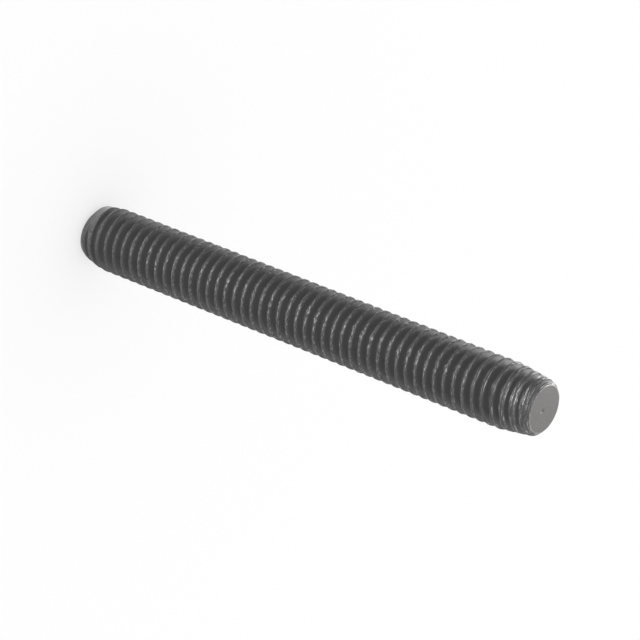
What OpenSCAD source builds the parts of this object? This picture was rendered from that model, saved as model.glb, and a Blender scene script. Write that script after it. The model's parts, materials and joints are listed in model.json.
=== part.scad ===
// Threaded stud: one length of rod with a rolled thread from end to end.
// Millimetres. The axis is Z and the stud stands on its foot end at Z = 0.
// The top end has the small punch mark.

/* [Stud] */
// Length from end face to end face
stud_len = 50; // [20:1:60]
// Diameter over the crests of the thread (6 mm nominal, less its clearance)
major_d = 5.9; // [5.8:0.02:6]

/* [Thread] */
// Distance from one crest to the next
pitch = 1; // [0.8:0.05:1.25]
// Diameter at which ridge and groove are equally wide
pitch_d = 5.3; // [5.2:0.02:5.36]
// Diameter at the bottom of the groove
minor_d = 4.7; // [4.6:0.05:4.85]
// Angle between the two sides of the groove, in degrees
groove_angle = 60; // [55:1:60]
// Turn of the whole thread about the axis, in degrees
thread_turn = 300; // [0:5:355]
// Straight steps in one turn of the groove
turn_steps = 24; // [16:4:24]

/* [Foot end] */
// Diameter of the flat face that the stud stands on
foot_face_d = 4.5; // [3.6:0.1:4.7]
// Height of the foot end's bevel
foot_bevel = 0.4; // [0.2:0.05:0.6]
// Diameter over the crests where the foot end's bevel stops
foot_lead_d = 5.4; // [5:0.05:5.7]
// Height at which the crests reach their full diameter
foot_lead = 2.2; // [1:0.1:4]

/* [Top end] */
// Diameter of the flat face at the top end
top_face_d = 4.3; // [3.6:0.1:4.6]
// Height of the top end's bevel
top_bevel = 0.35; // [0.2:0.05:0.6]
// Diameter over the crests where the top end's bevel stops
top_lead_d = 5; // [4.8:0.05:5.7]
// Depth below the top at which the crests reach their full diameter
top_lead = 3.5; // [1:0.1:5]

/* [Punch mark] */
// Width of the punch mark in the top face
punch_d = 0.4; // [0.2:0.05:0.8]
// Depth of the punch mark
punch_depth = 0.12; // [0.05:0.01:0.3]
// Distance of the punch mark from the middle of the top face
punch_off = 0.28; // [0:0.02:1]
// Direction of the punch mark from the middle of the top face, in degrees
punch_turn = 310; // [0:5:355]

/* [Hidden] */
steel = [0.32, 0.32, 0.33];
round_steps = 96;
// Half of the groove's width grows by this much for each millimetre of radius
flare = tan(groove_angle / 2);
// Share of the room between the crests and the point where the groove's sides meet the next groove's
cutter_share = 0.8;
// Radius that the groove's cutter reaches, outside the crests
cutter_r = major_d / 2 + cutter_share * (pitch / 2 - groove_half(major_d / 2)) / flare;
// Steps from one pitch below the foot to one pitch above the top
cutter_steps = ceil((stud_len / pitch + 2) * turn_steps);

// Half of the groove's width along the axis at radius r.
function groove_half(r) = pitch / 4 + (r - pitch_d / 2) * flare;

// The four corners of the groove's section, as [radius, height].
function groove_section() = [
    [minor_d / 2, -groove_half(minor_d / 2)],
    [cutter_r, -groove_half(cutter_r)],
    [cutter_r, groove_half(cutter_r)],
    [minor_d / 2, groove_half(minor_d / 2)],
];

// The groove's section after a number of steps along a right-hand helix.
function section_at(step) =
    let (turns = step / turn_steps, a = 360 * turns + thread_turn)
    [for (p = groove_section())
        [p[0] * cos(a), p[0] * sin(a), p[1] + (turns - 1) * pitch]];

// The blank before the thread is rolled: bevel, lead, full shank, lead, bevel.
module blank() {
    rotate_extrude($fn = round_steps) polygon([
        [0, 0],
        [foot_face_d / 2, 0],
        [foot_lead_d / 2, foot_bevel],
        [major_d / 2, foot_lead],
        [major_d / 2, stud_len - top_lead],
        [top_lead_d / 2, stud_len - top_bevel],
        [top_face_d / 2, stud_len],
        [0, stud_len],
    ]);
}

// The helical groove, as the solid that it takes out of the blank.
module groove() {
    corners = len(groove_section());
    last = cutter_steps * corners;
    points = [for (s = [0 : cutter_steps]) each section_at(s)];
    sides = [for (s = [0 : cutter_steps - 1], c = [0 : corners - 1])
        let (a = s * corners + c, b = s * corners + (c + 1) % corners)
        each [[a, b, a + corners], [b, b + corners, a + corners]]];
    ends = [[2, 1, 0], [3, 2, 0], [last, last + 1, last + 2], [last, last + 2, last + 3]];
    polyhedron(points = points, faces = concat(sides, ends), convexity = 10);
}

// The small cone that a punch leaves in the top face.
module punch_mark() {
    rotate([0, 0, punch_turn])
        translate([punch_off, 0, stud_len - punch_depth])
            cylinder(h = 2 * punch_depth, d1 = 0, d2 = 2 * punch_d, $fn = 32);
}

module stud() {
    color(steel)
        difference() {
            blank();
            groove();
            punch_mark();
        }
}

stud();
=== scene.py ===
"""Dresses the threaded stud: a fine rolled thread with a dark oxide skin, and a plain studio."""

import json
import logging
import math
from dataclasses import dataclass, field
from enum import Enum
from functools import reduce

import bpy
import numpy as np
from mathutils import Matrix, Vector

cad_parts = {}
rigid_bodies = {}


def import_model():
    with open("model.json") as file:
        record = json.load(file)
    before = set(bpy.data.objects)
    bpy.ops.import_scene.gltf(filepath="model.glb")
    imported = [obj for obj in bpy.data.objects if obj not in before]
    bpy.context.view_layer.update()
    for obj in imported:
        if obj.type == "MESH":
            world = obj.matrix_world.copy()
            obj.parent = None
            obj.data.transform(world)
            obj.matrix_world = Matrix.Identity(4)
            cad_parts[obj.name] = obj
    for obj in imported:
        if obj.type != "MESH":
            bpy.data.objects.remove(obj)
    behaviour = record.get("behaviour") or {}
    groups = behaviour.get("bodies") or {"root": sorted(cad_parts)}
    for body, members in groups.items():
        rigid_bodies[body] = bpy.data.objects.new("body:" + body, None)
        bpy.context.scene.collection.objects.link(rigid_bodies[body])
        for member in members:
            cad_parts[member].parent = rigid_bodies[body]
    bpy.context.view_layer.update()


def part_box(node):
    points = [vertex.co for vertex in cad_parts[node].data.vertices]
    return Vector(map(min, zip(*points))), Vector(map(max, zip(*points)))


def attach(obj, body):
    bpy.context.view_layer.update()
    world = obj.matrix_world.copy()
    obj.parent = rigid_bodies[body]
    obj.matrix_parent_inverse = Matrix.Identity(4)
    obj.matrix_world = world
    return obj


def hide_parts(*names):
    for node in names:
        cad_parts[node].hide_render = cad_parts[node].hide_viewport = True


LOG = logging.getLogger("threaded_stud")
MM = 0.001
FULL_TURN = 2 * math.pi
WELD_STEP = 1e-7 * MM

Array = np.ndarray
Colour = tuple[float, float, float]
Pair = tuple[float, float]


# ---- Curves and grids that more than one surface uses ----


def smaller(a: Array, b: Array, blend: float) -> Array:
    """The smaller of two curves, in metres, rounded over a blend's width where they cross."""
    # Half of their sum, less half of the root of their squared difference plus the squared blend.
    return 0.5 * (a + b - np.sqrt((a - b) ** 2 + blend**2))


def larger(a: Array, b: Array, blend: float) -> Array:
    """The larger of two curves, rounded as smaller() does it."""
    return -smaller(-a, -b, blend)


def later(first: float, last: float, count: int) -> Array:
    """Evenly spaced values that follow the first, up to the last."""
    return np.linspace(first, last, count + 1)[1:]


def cell_corners(rows: int, columns: int) -> list[tuple[Array, Array]]:
    """Row and column numbers of the four corners of each cell in a grid, in order round it."""
    row, column = np.meshgrid(np.arange(rows), np.arange(columns), indexing="ij")
    return [(row, column), (row, column + 1), (row + 1, column + 1), (row + 1, column)]


# ---- The stud's form ----


class End(Enum):
    """Which end of the stud a surface belongs to."""

    FOOT = -1
    TOP = 1


@dataclass(frozen=True)
class EndForm:
    """Sizes of one end of the stud, in metres.

    Attributes:
        face_radius: radius of the flat face.
        bevel: height of the bevel.
        bevel_radius: radius over the crests where the bevel stops.
        lead: distance from the face at which the crests reach their full radius.
        edge: radius of the small round between face and bevel.
    """

    face_radius: float
    bevel: float
    bevel_radius: float
    lead: float
    edge: float = 0.05 * MM

    @property
    def bevel_slope(self) -> float:
        """Growth of the bevel's radius for each metre from the face."""
        return (self.bevel_radius - self.face_radius) / self.bevel

    def blank_radius(self, depth: Array, crest: float, blend: float) -> Array:
        """Radius of the unthreaded blank at a distance from the face.

        The lower envelope of three lines: the bevel's cone, the lead's cone and the full shank,
        which is set two blends out so that the rounding leaves the crests their radius.

        Args:
            depth: distance from the face, in metres.
            crest: radius of the full shank.
            blend: rounding where the lines cross.

        Returns:
            The radius at each depth.
        """
        lead_slope = (crest - self.bevel_radius) / (self.lead - self.bevel)
        bevel = self.face_radius + depth * self.bevel_slope
        lead = self.bevel_radius + (depth - self.bevel) * lead_slope
        shank = np.full_like(depth, crest + 2 * blend)
        return smaller(bevel, smaller(lead, shank, blend), blend)


@dataclass(frozen=True)
class PunchMark:
    """The small pit beside the middle of the top face, in metres and degrees.

    Attributes:
        width: width of the pit.
        depth: depth of the pit.
        offset: distance of its middle from the stud's axis.
        turn: direction of its middle, from +X.
        spread: width of its bell curve, as a share of the pit's width.
    """

    width: float = 0.4 * MM
    depth: float = 0.11 * MM
    offset: float = 0.28 * MM
    turn: float = 310.0
    spread: float = 0.45

    def sink(self, x: Array, y: Array) -> Array:
        """How far the face lies below its own plane.

        Depth times a bell curve: e to the minus square of the distance from the pit's middle over
        the curve's width.

        Args:
            x: place along X, in metres.
            y: place along Y, in metres.

        Returns:
            The distance, in metres.
        """
        turn = math.radians(self.turn)
        middle_x, middle_y = self.offset * math.cos(turn), self.offset * math.sin(turn)
        out = np.hypot(x - middle_x, y - middle_y)
        return self.depth * np.exp(-((out / (self.spread * self.width)) ** 2))


@dataclass(frozen=True)
class ThreadForm:
    """Sizes of the rolled thread, in metres and degrees.

    Attributes:
        crest_radius: radius over the crests.
        pitch: distance from one crest to the next.
        pitch_radius: radius at which ridge and groove are equally wide.
        root_radius: radius at the bottom of the groove.
        half_angle: half of the angle between the groove's two sides.
        turn: turn of the whole thread about the axis.
        crest_half: half of the flat crest's width.
        shoulder_tilt: slope of the shoulders beside the crest, from the crest's own direction.
        crest_round: rounding between crest and shoulder.
        shoulder_round: rounding between shoulder and side.
        root_round: rounding of the groove's bottom.
        crowding: how much closer the grid's rows lie where the section bends.
        samples: number of places at which the section is read to set the rows.
    """

    crest_radius: float
    pitch: float = 1.0 * MM
    pitch_radius: float = 2.71 * MM
    root_radius: float = 2.32 * MM
    half_angle: float = 28.0
    turn: float = 300.0
    crest_half: float = 0.04 * MM
    shoulder_tilt: float = 24.0
    crest_round: float = 0.03 * MM
    shoulder_round: float = 0.08 * MM
    root_round: float = 0.05 * MM
    crowding: float = 2.2
    samples: int = 2001

    @property
    def lift(self) -> float:
        """Height of the first crest above the foot at no turn, in pitches."""
        return 0.5 - self.turn / 360.0

    def rounded_ridge(self, across: Array) -> Array:
        """Radius of the ridge alone, before it is lifted to the crest's radius.

        A straight side falls from the pitch radius by the distance over the tangent of the half
        angle. Two gently sloping shoulders and the flat crest cut it off from above, with rounded
        corners.

        Args:
            across: distance along the axis from the middle of the crest, in metres.

        Returns:
            The radius, in metres, largest at no distance.
        """
        out = np.abs(across)
        side = self.pitch_radius + (self.pitch / 4 - out) / math.tan(math.radians(self.half_angle))
        tilt = math.tan(math.radians(self.shoulder_tilt))
        shoulder = self.crest_radius + (self.crest_half - out) * tilt
        crest = np.full_like(across, self.crest_radius)
        return smaller(smaller(crest, shoulder, self.crest_round), side, self.shoulder_round)

    def ridge_radius(self, across: Array) -> Array:
        """Radius of the thread at a distance from the crest's middle line.

        The rounded ridge is lifted so that its top keeps the crest's radius, and the root cuts it
        off from below.

        Args:
            across: distance along the axis from the middle of the crest, in metres.

        Returns:
            The radius, in metres.
        """
        top = self.rounded_ridge(np.zeros(1))
        ridge = self.rounded_ridge(across) + self.crest_radius - top
        return larger(ridge, np.full_like(across, self.root_radius), self.root_round)

    def row_shares(self, rows: int) -> Array:
        """Places of the grid's rows within one pitch, crowded where the section bends.

        The share of rows grows with one plus the section's curvature, and the running sum is read
        backwards.

        Args:
            rows: number of rows in a pitch.

        Returns:
            Shares of the pitch from -0.5 up to, but without, 0.5.
        """
        fine = np.linspace(-0.5, 0.5, self.samples)
        section = self.ridge_radius(fine * self.pitch)
        bend = np.abs(np.gradient(np.gradient(section, fine), fine))
        density = 1.0 + self.crowding * bend / bend.mean()
        running = np.concatenate([[0.0], np.cumsum(0.5 * (density[1:] + density[:-1]))])
        return np.interp(np.arange(rows) / rows, running / running[-1], fine)


@dataclass
class Patch:
    """Part of a closed surface: points, triangles and what the finishes read.

    Attributes:
        points: one row of x, y, z for each point, in metres.
        ridge: height of each point between root (0) and crest (1).
        triangles: three point numbers a row, seen anticlockwise from outside.
        ribbon: for each corner, its place along and across the unrolled thread, in metres.
        bare: for each triangle, whether it belongs to a bare face.
    """

    points: Array
    ridge: Array
    triangles: Array
    ribbon: Array
    bare: Array


@dataclass
class ThreadedStud:
    """The whole stud, one closed surface round the Z axis, in metres.

    Attributes:
        length: from end face to end face.
        thread: the thread's sizes.
        foot: sizes of the end that stands on the ground, on its slimmer +X side.
        full_foot: sizes of the same end on its -X side, where the point is fuller.
        top: sizes of the end with the punch mark.
        punch: the pit in the top face.
        columns: steps round the axis.
        rows: steps in one pitch.
        bevel_rings: level rings in each half of the bevel's stretch.
        round_rings: rings in the round between bevel and face.
        face_rings: rings in the outer and in the inner part of the face.
        face_split: where the two parts of the face meet, as a share of its radius.
        blend: rounding between bevel, lead and full shank.
        margin: height above the bevel at which the thread's grid hands over to level rings.
        run_out: heights of the groove's middle line between which it sinks from the foot's point
            to its full depth.
        least_ridge: least height of a ridge that its points' shares are measured against.
        fill_wear: share of its ridge height that a filled groove loses for the finishes.
    """

    length: float
    thread: ThreadForm
    foot: EndForm = field(
        default_factory=lambda: EndForm(2.25 * MM, 0.5 * MM, 2.5 * MM, 2.2 * MM))
    full_foot: EndForm = field(
        default_factory=lambda: EndForm(2.1 * MM, 0.54 * MM, 2.7 * MM, 2.2 * MM))
    top: EndForm = field(
        default_factory=lambda: EndForm(2.15 * MM, 0.35 * MM, 2.5 * MM, 3.5 * MM, 0.08 * MM))
    punch: PunchMark = field(default_factory=PunchMark)
    columns: int = 80
    rows: int = 22
    bevel_rings: int = 8
    round_rings: int = 5
    face_rings: tuple[int, int] = (6, 18)
    face_split: float = 0.45
    blend: float = 0.02 * MM
    margin: float = 0.1 * MM
    run_out: Pair = (0.8 * MM, 1.0 * MM)
    least_ridge: float = 0.1 * MM
    fill_wear: float = 0.4

    def __post_init__(self) -> None:
        """Works out the angle of each column."""
        self.angles = FULL_TURN * np.arange(self.columns) / self.columns

    def blank_radius(self, angle: Array, height: Array) -> Array:
        """Radius of the blank: the smaller of what its two ends allow.

        The foot goes from its slimmer form at +X to its fuller one at -X by half of 1 less the
        angle's cosine.

        Args:
            angle: turn about the axis from +X, in radians.
            height: height above the foot, in metres.

        Returns:
            The radius at each place.
        """
        crest = self.thread.crest_radius
        slim = self.foot.blank_radius(height, crest, self.blend)
        full = self.full_foot.blank_radius(height, crest, self.blend)
        foot = slim + 0.5 * (1.0 - np.cos(angle)) * (full - slim)
        return np.minimum(foot, self.top.blank_radius(self.length - height, crest, self.blend))

    def across(self, angle: Array, height: Array) -> Array:
        """Distance along the axis from the nearest crest, which climbs one pitch in each turn."""
        pitches = height / self.thread.pitch - angle / FULL_TURN - self.thread.lift
        return (np.mod(pitches + 0.5, 1.0) - 0.5) * self.thread.pitch

    def radius(self, angle: Array, height: Array) -> Array:
        """Radius of the stud's skin: the smaller of the blank and the thread.

        Args:
            angle: turn about the axis from +X, in radians.
            height: height above the foot, in metres.

        Returns:
            The radius at each place.
        """
        ridge = self.thread.ridge_radius(self.across(angle, height))
        filled = ridge + self.fill(angle, height) * (self.thread.crest_radius - ridge)
        return smaller(self.blank_radius(angle, height), filled, self.blend)

    def fill(self, angle: Array, height: Array) -> Array:
        """How far the groove is filled near the foot, where it runs out on the point.

        The groove's middle line climbs one pitch in each turn, half a pitch above the crest below
        it. Its height sets the fill: 1 less a smooth step, which is three shares squared less two
        shares cubed.

        Args:
            angle: turn about the axis from +X, in radians.
            height: height above the foot, in metres.

        Returns:
            Shares from 0, the full groove, to 1, no groove.
        """
        turns = angle / FULL_TURN + self.thread.lift
        grooves = np.floor(height / self.thread.pitch - turns) + 0.5
        middle = self.thread.pitch * (grooves + turns)
        low, high = self.run_out
        share = np.clip((middle - low) / (high - low), 0.0, 1.0)
        return 1.0 - share**2 * (3.0 - 2.0 * share)

    def ridge_share(self, radius: Array, angle: Array, height: Array) -> Array:
        """Height between root and crest: 0 at the root's radius and 1 at the blank's.

        It is less where the groove is filled, so that the foot's point looks less worn.

        Args:
            radius: radius of the skin, in metres.
            angle: turn about the axis from +X, in radians.
            height: height above the foot, in metres.

        Returns:
            The share at each place.
        """
        root = self.thread.root_radius
        tall = np.maximum(self.blank_radius(angle, height) - root, self.least_ridge)
        share = np.clip((radius - root) / tall, 0.0, 1.0)
        return share * (1.0 - self.fill_wear * self.fill(angle, height))

    def thread_patch(self) -> Patch:
        """The threaded length, as a grid whose rows run along the thread.

        Row t and column a lie at the height pitch times (t + a / full turn + lift), kept between
        the two ends' rings. At the last column a row goes on as the row one pitch higher in the
        first column.

        Returns:
            The patch, with flattened triangles where the grid meets the end rings.
        """
        pitch, lift = self.thread.pitch, self.thread.lift
        low = self.foot.bevel + self.margin
        high = self.length - self.top.bevel - self.margin
        first, last = math.floor(low / pitch - lift) - 1, math.ceil(high / pitch - lift) + 1
        shares = self.thread.row_shares(self.rows)
        rows = (np.arange(first, last + 1)[:, None] + shares[None, :]).ravel()
        count = len(rows)
        turns = np.arange(self.columns + 1) / self.columns
        height = np.clip(pitch * (rows[:, None] + turns[None, :] + lift), low, high)
        angle = np.broadcast_to(self.angles, (count, self.columns))
        radius = self.radius(angle, height[:, :-1])
        corners = cell_corners(count - 1, self.columns)
        numbers = [self.wrapped(r, c, count) for r, c in corners]
        row = corners[0][0]
        ridge_number = np.floor(0.5 * (rows[row] + rows[row + 1]) + 0.5)
        reach = FULL_TURN * self.thread.pitch_radius
        places = []
        for r, c in corners:
            along = (ridge_number + turns[c]) * reach
            across = height[r, c] - pitch * (turns[c] + lift + ridge_number)
            places.append(np.stack([along, across], axis=-1))
        triangles, ribbon = split_quads(numbers, places)
        return Patch(
            points=self.to_points(radius, angle, height[:, :-1]),
            ridge=self.ridge_share(radius, angle, height[:, :-1]).ravel(),
            triangles=triangles,
            ribbon=ribbon,
            bare=np.zeros(len(triangles), bool),
        )

    def wrapped(self, row: Array, column: Array, count: int) -> Array:
        """Point numbers: past the last column comes the first one, a pitch of rows higher."""
        row = np.minimum(row + self.rows * (column // self.columns), count - 1)
        return row * self.columns + column % self.columns

    @staticmethod
    def to_points(radius: Array, angle: Array, height: Array) -> Array:
        """Turns radius, angle and height into rows of x, y, z."""
        x, y = radius * np.cos(angle), radius * np.sin(angle)
        return np.stack([x, y, height], axis=-1).reshape(-1, 3)

    def end_patch(self, end: End) -> Patch:
        """One end: level rings down the bevel, round its edge and across the face to the middle.

        The round meets the bevel and the face at a tangent, and lies on a circle of the edge's
        radius. Its rings and the face's are scaled with the last ring of the bevel.

        Args:
            end: which end.

        Returns:
            The patch, with the punch mark in the top face.
        """
        form = self.top if end is End.TOP else self.foot
        lean = math.atan2(1.0, form.bevel_slope)
        tangent = form.edge * math.tan(lean / 2)
        start = tangent * math.sin(lean)
        above, below = form.bevel + self.margin, form.bevel - self.margin
        bevel_depth = np.concatenate([
            np.linspace(above, below, self.bevel_rings, endpoint=False),
            np.linspace(below, start, self.bevel_rings),
        ])
        turn = later(lean, 0.0, self.round_rings)
        flat_radius = form.face_radius - tangent
        round_radius = flat_radius + form.edge * np.sin(turn)
        face_radius = flat_radius * np.concatenate([
            later(1.0, self.face_split, self.face_rings[0]),
            later(self.face_split, 0.0, self.face_rings[1]),
        ])
        round_depth = form.edge * (1.0 - np.cos(turn))
        depth = np.concatenate([bevel_depth, round_depth, np.zeros_like(face_radius)])
        rings, flat = len(depth), len(bevel_depth)
        angle = np.broadcast_to(self.angles, (rings, self.columns))
        level = self.length - depth if end is End.TOP else depth
        height = np.broadcast_to(level[:, None], angle.shape).copy()
        radius = self.radius(angle, height)
        rim = radius[flat - 1] / (form.face_radius + start * form.bevel_slope)
        radius[flat:] = np.concatenate([round_radius, face_radius])[:, None] * rim
        if end is End.TOP:
            on_face = np.arange(rings)[:, None] >= flat + self.round_rings
            pit = self.punch.sink(radius * np.cos(angle), radius * np.sin(angle))
            height -= np.where(on_face, pit, 0.0)
        corners = cell_corners(rings - 1, self.columns)
        bare = corners[0][0].ravel() >= flat - 1
        if end is End.FOOT:
            corners = corners[::-1]
        numbers = [r * self.columns + c % self.columns for r, c in corners]
        steps = np.hypot(np.diff(radius[:, 0]), np.diff(depth))
        run = np.concatenate([[0.0], np.cumsum(steps)])
        width = FULL_TURN * self.thread.pitch_radius / self.columns
        places = [np.stack([c * width, run[r]], axis=-1) for r, c in corners]
        triangles, ribbon = split_quads(numbers, places)
        return Patch(
            points=self.to_points(radius, angle, height),
            ridge=self.ridge_share(radius, angle, height).ravel(),
            triangles=triangles,
            ribbon=ribbon,
            bare=np.concatenate([bare, bare]),
        )

    def build(self) -> bpy.types.Object:
        """Welds the three patches into one closed mesh.

        Returns:
            The stud's object, at the origin, with its ribbon UV map and its ridge attribute.
        """
        whole = weld([self.end_patch(End.FOOT), self.thread_patch(), self.end_patch(End.TOP)])
        LOG.info("stud_body: %d open edges", open_edges(whole.triangles))
        return mesh_object("stud_body", whole)


def split_quads(numbers: list[Array], places: list[Array]) -> tuple[Array, Array]:
    """Cuts a grid of four-sided cells into triangles along their first diagonal.

    Args:
        numbers: the point numbers of the four corners, in order.
        places: the UV places of the same corners.

    Returns:
        Triangles as rows of three numbers, and the UV places of their corners.
    """
    halves = ((0, 1, 2), (0, 2, 3))
    flat = [n.reshape(-1) for n in numbers]
    uv = [p.reshape(-1, 2) for p in places]
    triangles = np.concatenate([np.stack([flat[i] for i in half], axis=-1) for half in halves])
    ribbon = np.concatenate([np.stack([uv[i] for i in half], axis=1) for half in halves])
    return triangles, ribbon


def weld(patches: list[Patch]) -> Patch:
    """Joins patches, makes one point of those at the same place, and drops flat triangles.

    Args:
        patches: the parts of one closed surface.

    Returns:
        The whole surface.
    """
    starts = np.cumsum([0] + [len(p.points) for p in patches[:-1]])
    triangles = np.concatenate([p.triangles + s for p, s in zip(patches, starts)])
    points, ridge, ribbon, bare = (np.concatenate([getattr(p, name) for p in patches])
                                   for name in ("points", "ridge", "ribbon", "bare"))
    used = np.unique(triangles)
    steps = np.round(points[used] / WELD_STEP).astype(np.int64)
    _, keep, same = np.unique(steps, axis=0, return_index=True, return_inverse=True)
    renumber = np.zeros(len(points), np.int64)
    renumber[used] = same.reshape(-1)
    triangles = renumber[triangles]
    kept = np.all(triangles != np.roll(triangles, -1, axis=1), axis=1)
    return Patch(points[used][keep], ridge[used][keep], triangles[kept], ribbon[kept], bare[kept])


def open_edges(triangles: Array) -> int:
    """Counts the edges that no other triangle runs along the other way.

    Args:
        triangles: three point numbers a row.

    Returns:
        The number of them, 0 on a closed surface.
    """
    ahead = np.roll(triangles, -1, axis=1)
    size = int(triangles.max()) + 1
    return int(np.count_nonzero(~np.isin(triangles * size + ahead, ahead * size + triangles)))


def linked(name: str, data: bpy.types.ID) -> bpy.types.Object:
    """Makes an object and links it to the scene.

    Args:
        name: the object's name.
        data: its mesh or camera.

    Returns:
        The object.
    """
    made = bpy.data.objects.new(name, data)
    bpy.context.scene.collection.objects.link(made)
    return made


def mesh_object(name: str, surface: Patch) -> bpy.types.Object:
    """Makes a Blender object of a surface.

    Args:
        name: the object's name.
        surface: the welded surface.

    Returns:
        The object, linked to the scene.
    """
    mesh = bpy.data.meshes.new(name)
    count = len(surface.triangles)
    mesh.vertices.add(len(surface.points))
    mesh.vertices.foreach_set("co", surface.points.astype(np.float32).ravel())
    mesh.loops.add(3 * count)
    mesh.loops.foreach_set("vertex_index", surface.triangles.astype(np.int32).ravel())
    mesh.polygons.add(count)
    mesh.polygons.foreach_set("loop_start", np.arange(0, 3 * count, 3, dtype=np.int32))
    mesh.polygons.foreach_set("material_index", surface.bare.astype(np.int32))
    mesh.polygons.foreach_set("use_smooth", np.ones(count, bool))
    ribbon = mesh.uv_layers.new(name="ribbon")
    ribbon.uv.foreach_set("vector", surface.ribbon.astype(np.float32).ravel())
    ridge = mesh.attributes.new("ridge", "FLOAT", "POINT")
    ridge.data.foreach_set("value", surface.ridge.astype(np.float32))
    mesh.update(calc_edges=True)
    mesh.validate()
    return linked(name, mesh)


# ---- Finishes ----


class Sheet:
    """A short way to write a tree of shader nodes."""

    def __init__(self, tree: bpy.types.NodeTree) -> None:
        """Takes the tree that the nodes go into."""
        self.tree = tree

    @classmethod
    def of(cls, owner: bpy.types.Material | bpy.types.World) -> "Sheet":
        """Turns on the nodes of a material or a world and empties them.

        Args:
            owner: the material or world.

        Returns:
            Its sheet.
        """
        owner.use_nodes = True
        owner.node_tree.nodes.clear()
        return cls(owner.node_tree)

    def add(self, kind: str, feeds: dict[str | int, object] | None = None, **settings: object
            ) -> bpy.types.Node:
        """Adds a node, sets its properties and feeds its inputs.

        Args:
            kind: the node's type name.
            feeds: sockets or values by the input's name or number.
            settings: properties of the node.

        Returns:
            The node.
        """
        node = self.tree.nodes.new(kind)
        for name, value in settings.items():
            setattr(node, name, value)
        for name, value in (feeds or {}).items():
            self.put(node.inputs[name], value)
        return node

    def put(self, target: bpy.types.NodeSocket, value: object) -> None:
        """Links a socket to the target, or sets the target's own value.

        Args:
            target: the input.
            value: a socket, or what the input is set to.
        """
        if isinstance(value, bpy.types.NodeSocket):
            self.tree.links.new(value, target)
        else:
            target.default_value = value

    def math(self, operation: str, *values: object) -> bpy.types.NodeSocket:
        """Does a sum on numbers or sockets and returns its result."""
        return self.add("ShaderNodeMath", dict(enumerate(values)), operation=operation).outputs[0]

    def times(self, *values: object) -> bpy.types.NodeSocket:
        """The product of numbers or sockets."""
        return reduce(lambda first, second: self.math("MULTIPLY", first, second), values)

    def rest(self, value: object) -> bpy.types.NodeSocket:
        """What is left of 1 when a value is taken from it."""
        return self.math("SUBTRACT", 1.0, value)

    def step(self, value: object, band: Pair) -> bpy.types.NodeSocket:
        """A smooth step from 0 at the band's low end to 1 at its high end."""
        feeds = {"Value": value, "From Min": band[0], "From Max": band[1]}
        return self.add("ShaderNodeMapRange", feeds, interpolation_type="SMOOTHSTEP").outputs[0]

    def mixed(self, share: object, first: object, second: object, kind: str = "FLOAT"
              ) -> bpy.types.NodeSocket:
        """Goes from the first number to the second by a share."""
        feeds = {"Factor": share, "A": first, "B": second}
        return self.add("ShaderNodeMix", feeds, data_type=kind).outputs["Result"]

    def blend(self, share: object, first: object, second: object) -> bpy.types.NodeSocket:
        """Goes from the first colour to the second by a share."""
        first, second = ((*c, 1.0) if isinstance(c, tuple) else c for c in (first, second))
        return self.mixed(share, first, second, "RGBA")

    def noise(self, vector: object, scale: object, detail: float, roughness: float
              ) -> bpy.types.NodeSocket:
        """Noise from 0 to 1 at a vector."""
        feeds = {"Vector": vector, "Scale": scale, "Detail": detail, "Roughness": roughness}
        return self.add("ShaderNodeTexNoise", feeds).outputs["Fac"]

    def split(self, vector: object) -> bpy.types.NodeOutputs:
        """The X, Y and Z of a vector."""
        return self.add("ShaderNodeSeparateXYZ", {"Vector": vector}).outputs

    def bump(self, height: object, distance: float, **under: object) -> bpy.types.NodeSocket:
        """The normal of a surface raised by a height times a distance, over another Normal."""
        feeds = {"Height": height, "Distance": distance, **under}
        return self.add("ShaderNodeBump", feeds).outputs["Normal"]

    def group(self, group: bpy.types.NodeTree, **values: object) -> bpy.types.NodeOutputs:
        """Places a node group, feeds its inputs by name and returns its outputs."""
        return self.add("ShaderNodeGroup", values, node_tree=group).outputs


def new_group(name: str, inputs: tuple[str, ...], outputs: tuple[str, ...]
              ) -> tuple[bpy.types.NodeTree, Sheet, bpy.types.NodeOutputs, bpy.types.NodeInputs]:
    """Starts a node group, with a vector for a socket named Vector and numbers for the others.

    Args:
        name: the group's name.
        inputs: names of what comes in.
        outputs: names of what goes out.

    Returns:
        The group, its sheet, what comes in and what goes out.
    """
    group = bpy.data.node_groups.new(name, "ShaderNodeTree")
    for side, labels in (("INPUT", inputs), ("OUTPUT", outputs)):
        for label in labels:
            kind = "NodeSocketVector" if label == "Vector" else "NodeSocketFloat"
            group.interface.new_socket(label, in_out=side, socket_type=kind)
    sheet = Sheet(group)
    coming, going = sheet.add("NodeGroupInput").outputs, sheet.add("NodeGroupOutput").inputs
    return group, sheet, coming, going


def grain_group() -> bpy.types.NodeTree:
    """The fine tooth of pickled or cut steel: a tone and a height, from noise of two sizes.

    Returns:
        The group. Coarse and Fine are sizes of the noise in grains a metre.
    """
    group, sheet, coming, going = new_group(
        "steel grain", ("Vector", "Coarse", "Fine"), ("Tone", "Height"))
    tone_band, coarse_share = (0.3, 0.7), 0.6
    coarse = sheet.noise(coming["Vector"], coming["Coarse"], detail=2.0, roughness=0.55)
    fine = sheet.noise(coming["Vector"], coming["Fine"], detail=1.5, roughness=0.6)
    sheet.put(going["Tone"], sheet.step(coarse, tone_band))
    sheet.put(going["Height"], sheet.math("ADD", sheet.times(coarse, coarse_share), fine))
    return group


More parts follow.
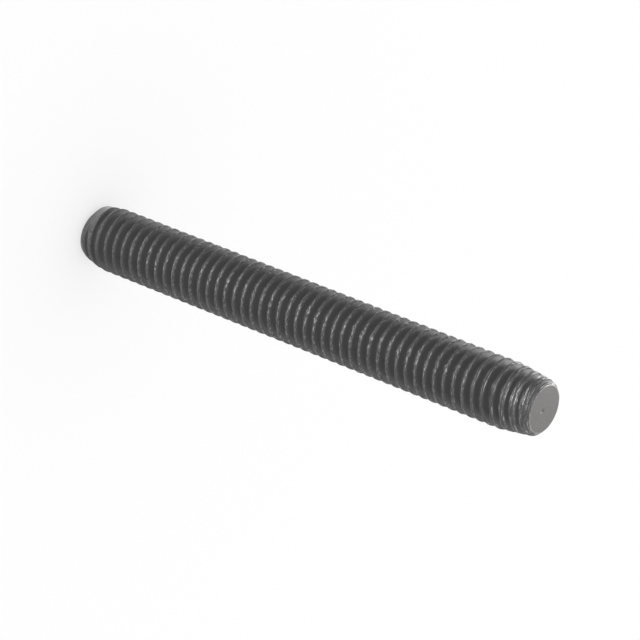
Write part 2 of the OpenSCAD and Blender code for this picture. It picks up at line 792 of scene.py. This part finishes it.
def scuff_group() -> bpy.types.NodeTree:
    """Scuffs along a path: noise drawn out along the ribbon, cut into pits and rubbed flecks.

    Pits are where the noise is low and flecks where it is high, so a fleck always stands proud of
    a pit.

    Returns:
        The group. Along and Across are sizes of the noise in marks a metre.
    """
    group, sheet, coming, going = new_group(
        "steel scuffs", ("Vector", "Along", "Across"), ("Pits", "Flecks", "Height"))
    pit_band, fleck_band = (0.40, 0.52), (0.57, 0.65)
    place = sheet.split(coming["Vector"])
    drawn = sheet.add("ShaderNodeCombineXYZ", {
        "X": sheet.times(place["X"], coming["Along"]),
        "Y": sheet.times(place["Y"], coming["Across"]),
    })
    marks = sheet.noise(drawn.outputs["Vector"], 1.0, detail=2.0, roughness=0.6)
    sheet.put(going["Pits"], sheet.rest(sheet.step(marks, pit_band)))
    sheet.put(going["Flecks"], sheet.step(marks, fleck_band))
    sheet.put(going["Height"], marks)
    return group


def new_material(name: str) -> tuple[bpy.types.Material, Sheet, bpy.types.Node]:
    """Starts a material that holds one Principled shader.

    Args:
        name: the material's name.

    Returns:
        The material, its sheet and its shader.
    """
    material = bpy.data.materials.new(name)
    sheet = Sheet.of(material)
    shader = sheet.add("ShaderNodeBsdfPrincipled")
    sheet.add("ShaderNodeOutputMaterial", {"Surface": shader.outputs["BSDF"]})
    return material, sheet, shader


@dataclass(frozen=True)
class OxideSteel:
    """Dark oxide skin of the thread, rubbed thin and pitted along the crests.

    A rise is a pair of heights above the foot, in metres, and a band a pair of heights between
    root (0) and crest (1), between which a mask grows from 0 to 1.

    Attributes:
        oxide: colour of the skin on the upper sides of the ridge.
        deep: colour of the skin down in the groove, paler than the ridge's as painted light that
            lifts the groove's shade.
        dusty: colour of the same skin in the first grooves above the foot, paler still as painted
            light that lifts their shade.
        rubbed: colour of the crests, where the skin is thin.
        pit: colour of the pits.
        fleck: colour of the small flecks of bare metal.
        glint: colour of the brighter flecks towards the top end.
        bare: share of bare metal in the rubbed crests.
        roughness: roughness of the oxide.
        rubbed_roughness: roughness of the crests.
        pitted_roughness: roughness of the pits.
        clean_rise: from the first grooves' painted fill to the other grooves'.
        rub_rise: from no rubbed flecks to all of them.
        streak_rise: from scuffs to drawn streaks.
        foot_wear: share of the crests' wear that is left at the foot.
        patchiness: share of that wear which the grain's tone takes away or leaves.
        crest_band: from the shoulders to the rubbed crest.
        rolled_band: from the sides to what the rolls have marked.
        shoulder_band: from the groove to the pitted shoulders.
        root_band: from the bottom of the groove, which is marked too, to its sides.
        side_band: from the groove's painted fill colour to the ridge's.
        seam: distances from the crest's middle line at which its seam starts to fade and is gone.
        skin_grain: coarse and fine grains a metre of the skin.
        pit_grain: the same of the pitted shoulders.
        scuff_marks: scuffs a metre along and across the thread.
        streak_marks: streaks a metre along and across it.
        tooth: height of the fine grain, in metres.
        pitting: height of the pitted shoulders' grain, in metres.
        scuffing: height of the scuffs along the crests, in metres.
    """

    oxide: Colour = (0.074, 0.074, 0.0755)
    # Paler than the ridge's skin: painted light that lifts the shade down in the groove.
    deep: Colour = (0.108, 0.108, 0.11)
    # Paler still: painted light that lifts the shade in the first grooves above the foot.
    dusty: Colour = (0.19, 0.19, 0.19)
    rubbed: Colour = (0.13, 0.13, 0.13)
    pit: Colour = (0.068, 0.068, 0.069)
    fleck: Colour = (0.26, 0.257, 0.253)
    glint: Colour = (0.42, 0.416, 0.412)
    bare: float = 0.42
    roughness: float = 0.42
    rubbed_roughness: float = 0.25
    pitted_roughness: float = 1.0
    # Heights over which the painted fill of the first grooves fades out.
    clean_rise: Pair = (2.1 * MM, 3.2 * MM)
    rub_rise: Pair = (3.0 * MM, 10.0 * MM)
    streak_rise: Pair = (42.0 * MM, 46.0 * MM)
    foot_wear: float = 0.1
    patchiness: float = 0.5
    crest_band: Pair = (0.84, 0.95)
    rolled_band: Pair = (0.68, 0.84)
    shoulder_band: Pair = (0.35, 0.85)
    root_band: Pair = (0.03, 0.12)
    side_band: Pair = (0.0, 0.6)
    seam: Pair = (0.014 * MM, 0.07 * MM)
    skin_grain: Pair = (4200.0, 20000.0)
    pit_grain: Pair = (5200.0, 11000.0)
    scuff_marks: Pair = (2800.0, 9000.0)
    streak_marks: Pair = (1100.0, 15000.0)
    tooth: float = 0.004 * MM
    pitting: float = 0.03 * MM
    scuffing: float = 0.028 * MM

    def material(self, grain: bpy.types.NodeTree, scuffs: bpy.types.NodeTree
                 ) -> bpy.types.Material:
        """Builds the material.

        Args:
            grain: the shared grain group.
            scuffs: the shared scuff group.

        Returns:
            The material.
        """
        material, sheet, shader = new_material("oxide steel")
        place = sheet.add("ShaderNodeTexCoord").outputs["Object"]
        height = sheet.split(place)["Z"]
        ridge = sheet.add("ShaderNodeAttribute", attribute_name="ridge").outputs["Fac"]
        ribbon = sheet.add("ShaderNodeUVMap", uv_map="ribbon").outputs["UV"]
        skin, pitted = (sheet.group(grain, Vector=place, Coarse=coarse, Fine=fine)
                        for coarse, fine in (self.skin_grain, self.pit_grain))
        marks, streaks = (sheet.group(scuffs, Vector=ribbon, Along=along, Across=across)
                          for along, across in (self.scuff_marks, self.streak_marks))
        rubbing = sheet.step(height, self.rub_rise)
        drawn = sheet.step(height, self.streak_rise)
        pits, flecks, proud = (sheet.mixed(drawn, marks[name], streaks[name])
                               for name in ("Pits", "Flecks", "Height"))
        off_middle = sheet.math("ABSOLUTE", sheet.split(ribbon)["Y"])
        seam = sheet.times(drawn, sheet.rest(sheet.step(off_middle, self.seam)))
        crest = sheet.step(ridge, self.crest_band)
        shoulder = sheet.step(ridge, self.shoulder_band)
        root = sheet.rest(sheet.step(ridge, self.root_band))
        rolled = sheet.math("MAXIMUM", sheet.step(ridge, self.rolled_band), root)
        pits = sheet.times(rolled, sheet.math("MAXIMUM", pits, seam))
        flecks = sheet.times(sheet.times(rolled, rubbing), sheet.times(flecks, sheet.rest(seam)))
        patchy = sheet.math("ADD", sheet.times(skin["Tone"], self.patchiness),
                            1.0 - self.patchiness)
        worn = sheet.times(crest, patchy, sheet.mixed(rubbing, self.foot_wear, 1.0))

        # Painted light: the grooves' skin is paler than the ridge's, most of all in the first
        # grooves above the foot, to lift their shade.
        groove_colour = sheet.blend(sheet.step(height, self.clean_rise), self.dusty, self.deep)
        skin_colour = sheet.blend(sheet.step(ridge, self.side_band), groove_colour, self.oxide)
        rolled_colour = sheet.blend(pits, sheet.blend(worn, skin_colour, self.rubbed), self.pit)
        fleck_colour = sheet.blend(drawn, self.fleck, self.glint)
        sheet.put(shader.inputs["Base Color"], sheet.blend(flecks, rolled_colour, fleck_colour))

        smoothed = sheet.times(worn, self.rubbed_roughness - self.roughness)
        roughened = sheet.times(pits, self.pitted_roughness - self.roughness)
        roughness = sheet.math("ADD", sheet.math("ADD", smoothed, self.roughness), roughened)
        sheet.put(shader.inputs["Roughness"], roughness)
        metal = sheet.math("MAXIMUM", sheet.times(worn, self.bare), flecks)
        sheet.put(shader.inputs["Metallic"], metal)

        scuffed = sheet.times(sheet.math("SUBTRACT", proud, seam), rolled)
        normal = sheet.bump(skin["Height"], self.tooth)
        normal = sheet.bump(scuffed, self.scuffing, Normal=normal)
        coarse = sheet.times(pitted["Height"], shoulder)
        sheet.put(shader.inputs["Normal"], sheet.bump(coarse, self.pitting, Normal=normal))
        return material


@dataclass(frozen=True)
class SawnSteel:
    """Bare steel of the end faces, cut and left to dull.

    Attributes:
        steel: colour of the face.
        paler: how much paler it is where the grain's tone is high.
        rim: colour of its worn rim.
        rim_band: distances from the axis between which the wear of the rim grows, in metres.
        roughness: roughness of the face.
        grains: coarse and fine grains a metre.
        tooth: height of the grain, in metres.
    """

    steel: Colour = (0.213, 0.2075, 0.205)
    paler: float = 1.08
    rim: Colour = (0.44, 0.43, 0.425)
    rim_band: Pair = (2.04 * MM, 2.12 * MM)
    roughness: float = 0.5
    grains: Pair = (2500.0, 26000.0)
    tooth: float = 0.003 * MM

    def material(self, grain: bpy.types.NodeTree) -> bpy.types.Material:
        """Builds the material.

        Args:
            grain: the shared grain group.

        Returns:
            The material.
        """
        material, sheet, shader = new_material("sawn steel")
        place = sheet.add("ShaderNodeTexCoord").outputs["Object"]
        skin = sheet.group(grain, Vector=place, Coarse=self.grains[0], Fine=self.grains[1])
        parts = sheet.split(place)
        squares = (sheet.math("POWER", parts[axis], 2.0) for axis in "XY")
        out = sheet.math("SQRT", sheet.math("ADD", *squares))
        worn = sheet.times(sheet.step(out, self.rim_band), skin["Tone"])
        face = sheet.blend(skin["Tone"], self.steel, tuple(self.paler * c for c in self.steel))
        sheet.put(shader.inputs["Base Color"], sheet.blend(worn, face, self.rim))
        sheet.put(shader.inputs["Roughness"], self.roughness)
        sheet.put(shader.inputs["Metallic"], 1.0)
        sheet.put(shader.inputs["Normal"], sheet.bump(skin["Height"], self.tooth))
        return material


# ---- Studio and camera ----


@dataclass(frozen=True)
class Card:
    """A studio card that only gloss sees: a strip of a cone round the stud's axis.

    Attributes:
        name: the card's name.
        glow: brightness of the card, of white 1.
        start: azimuth of its first edge in degrees, 0 at the camera and growing towards +X.
        stop: azimuth of its last edge, in degrees.
        inner: radius and height of its lower or inner edge, in metres.
        outer: radius and height of its upper or outer edge, in metres.
    """

    name: str
    glow: float
    start: float
    stop: float
    inner: Pair
    outer: Pair

    def build(self, arcs: int = 32, bands: int = 4) -> bpy.types.Object:
        """Makes the card, as a grid between its two edges, which are arcs round the axis.

        Args:
            arcs: steps round the axis.
            bands: steps from the inner to the outer edge.

        Returns:
            The card's object, hidden from the camera and from diffuse light.
        """
        degrees = np.linspace(self.start, self.stop, arcs + 1)
        turn, share = np.meshgrid(np.radians(degrees), np.linspace(0.0, 1.0, bands + 1),
                                  indexing="ij")
        radius, height = (low + share * (high - low) for low, high in zip(self.inner, self.outer))
        points = np.stack([radius * np.sin(turn), -radius * np.cos(turn), height], axis=-1)
        corners = cell_corners(arcs, bands)
        quads = np.stack([(r * (bands + 1) + c).ravel() for r, c in corners[:1] + corners[:0:-1]],
                         axis=-1)
        mesh = bpy.data.meshes.new(self.name)
        mesh.from_pydata(points.reshape(-1, 3).tolist(), [], quads.tolist())
        material = bpy.data.materials.new(self.name)
        sheet = Sheet.of(material)
        glow = sheet.add("ShaderNodeEmission", {"Strength": self.glow})
        sheet.add("ShaderNodeOutputMaterial", {"Surface": glow.outputs["Emission"]})
        mesh.materials.append(material)
        card = linked(self.name, mesh)
        for ray in ("camera", "diffuse", "shadow", "transmission"):
            setattr(card, f"visible_{ray}", False)
        return card


@dataclass(frozen=True)
class Studio:
    """A white floor, a white surround and soft cards, in metres.

    Attributes:
        floor_side: side of the square floor.
        floor_drop: depth of the floor under the stud's foot.
        floor_colour: grey of the floor, of white 1.
        surround: strength of the white surround as it lights the stud.
        cards: the cards. A mat lies on the floor, a panel stands and the ceiling hangs.
    """

    floor_side: float = 8.0
    floor_drop: float = 0.02 * MM
    floor_colour: float = 0.38
    surround: float = 1.0
    cards: tuple[Card, ...] = (
        Card("ceiling_card", 0.45, -180.0, 180.0, (0.0, 0.5), (0.35, 0.5)),
        Card("front_mat", 2.9, -34.0, 44.0, (0.004, 0.0002), (0.5, 0.0002)),
        Card("right_mat", 0.7, 44.0, 112.0, (0.004, 0.0002), (0.5, 0.0002)),
        Card("left_mat", 0.22, -113.0, -42.0, (0.006, 0.0002), (0.5, 0.0002)),
        Card("foot_mat", 2.8, -112.0, 26.0, (0.003, 0.0001), (0.0044, 0.0001)),
        Card("back_foot_mat", 5.6, -180.0, -112.0, (0.003, 0.0001), (0.0055, 0.0001)),
        Card("back_left_mat", 1.9, -180.0, -132.0, (0.0056, 0.0002), (0.062, 0.0002)),
        Card("back_left_far_mat", 2.8, -180.0, -112.0, (0.064, 0.0002), (0.5, 0.0002)),
        Card("front_panel", 3.3, -33.0, 16.0, (0.5, 0.0), (0.5, 0.33)),
        Card("front_high_panel", 3.3, -36.0, 2.0, (0.5, 0.33), (0.34, 0.5)),
        Card("left_high_panel", 0.4, -105.0, -42.0, (0.5, 0.498), (0.355, 0.498)),
        Card("left_panel", 0.2, -130.0, -42.0, (0.5, 0.0), (0.5, 0.5)),
        Card("right_panel", 0.4, 14.0, 65.0, (0.5, 0.0), (0.5, 0.5)),
        Card("back_left_panel", 2.0, -165.0, -120.0, (0.6, 0.0), (0.6, 0.5)),
        Card("back_left_high_panel", 1.45, -152.0, -100.0, (0.52, 0.43), (0.37, 0.5)),
        Card("top_end_panel", 4.8, -152.0, -106.0, (0.015, 0.048), (0.015, 0.062)),
        Card("foot_glow_panel", 2.2, -160.0, -96.0, (0.008, 0.0045), (0.008, 0.0105)),
        Card("back_right_panel", 1.9, 108.0, 140.0, (0.45, 0.38), (0.3, 0.5)),
    )

    def build(self) -> None:
        """Makes the floor, the surround and the cards."""
        self.floor()
        self.world()
        for card in self.cards:
            card.build()
        LOG.info("studio: a floor, a white surround and %d cards", len(self.cards))

    def seen(self, sheet: Sheet) -> bpy.types.NodeSocket:
        """1 for rays from the camera, from gloss and through glass, and 0 for the rest.

        Args:
            sheet: the sheet of the material that asks.

        Returns:
            The mask.
        """
        path = sheet.add("ShaderNodeLightPath").outputs
        seen = sheet.math("MAXIMUM", path["Is Camera Ray"], path["Is Glossy Ray"])
        return sheet.math("MAXIMUM", seen, path["Is Transmission Ray"])

    def floor(self) -> bpy.types.Object:
        """A flat floor just under the stud's foot, at full white where it is seen.

        Returns:
            The floor's object.
        """
        half = self.floor_side / 2
        corners = [(half * x, half * y, -self.floor_drop)
                   for x, y in ((-1, -1), (1, -1), (1, 1), (-1, 1))]
        mesh = bpy.data.meshes.new("floor")
        mesh.from_pydata(corners, [], [(0, 1, 2, 3)])
        floor = linked("floor", mesh)
        material, sheet, shader = new_material("floor white")
        lift = sheet.times(self.seen(sheet), 1.0 - self.floor_colour * self.surround)
        for name, value in (("Base Color", (self.floor_colour,) * 3 + (1.0,)), ("Roughness", 1.0),
                            ("Specular IOR Level", 0.0), ("Emission Color", (1.0,) * 4),
                            ("Emission Strength", lift)):
            sheet.put(shader.inputs[name], value)
        mesh.materials.append(material)
        return floor

    def world(self) -> None:
        """A plain white surround."""
        world = bpy.data.worlds.new("studio")
        bpy.context.scene.world = world
        sheet = Sheet.of(world)
        light = sheet.add("ShaderNodeBackground", {"Color": (1.0,) * 4, "Strength": self.surround})
        sheet.add("ShaderNodeOutputWorld", {"Surface": light.outputs["Background"]})


@dataclass(frozen=True)
class Viewpoint:
    """Where the camera stands, in metres and degrees.

    Attributes:
        aim: point that it looks at.
        distance: from that point to the camera.
        azimuth: 0 looks along +Y.
        elevation: above the horizon.
        roll: turn about the line of sight, anticlockwise from behind the camera.
        lens: focal length, in millimetres.
        sensor: width of the sensor, in millimetres.
        clip: nearest and farthest distance that it shows.
    """

    aim: tuple[float, float, float] = (-0.00006, 0.00044, 0.02569)
    distance: float = 0.317
    azimuth: float = 0.0
    elevation: float = 32.92
    roll: float = 111.52
    lens: float = 204.4
    sensor: float = 36.0
    clip: Pair = (0.01, 30.0)

    def build(self) -> bpy.types.Object:
        """Makes the camera and hands it to the scene.

        Returns:
            The camera's object.
        """
        azimuth, elevation, roll = map(math.radians, (self.azimuth, self.elevation, self.roll))
        out, over = math.cos(elevation), math.sin(elevation)
        back = Vector((math.sin(azimuth) * out, -math.cos(azimuth) * out, over))
        level = Vector((0.0, 0.0, 1.0)).cross(back).normalized()
        right = math.cos(roll) * level + math.sin(roll) * back.cross(level)
        turn = Matrix((right, back.cross(right), back)).transposed()
        data = bpy.data.cameras.new("camera")
        data.lens, data.sensor_width = self.lens, self.sensor
        data.clip_start, data.clip_end = self.clip
        camera = linked("camera", data)
        place = Vector(self.aim) + self.distance * back
        camera.matrix_world = Matrix.Translation(place) @ turn.to_4x4()
        bpy.context.scene.camera = camera
        return camera


# ---- The whole scene ----


def main() -> None:
    """Builds the camera, the stud and the studio."""
    logging.basicConfig(level=logging.INFO, format="%(name)s: %(message)s")
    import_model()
    Viewpoint().build()
    low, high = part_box("stud")
    thread = ThreadForm(crest_radius=(high.x - low.x) / 2)
    body = ThreadedStud(length=high.z - low.z, thread=thread).build()
    grain = grain_group()
    body.data.materials.append(OxideSteel().material(grain, scuff_group()))
    body.data.materials.append(SawnSteel().material(grain))
    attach(body, "root")
    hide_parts("stud")
    LOG.info("stud_body: %d points, %d triangles", len(body.data.vertices), len(body.data.polygons))
    Studio().build()
    scene = bpy.context.scene
    scene.view_settings.view_transform = "Standard"


if __name__ == "__main__":
    main()
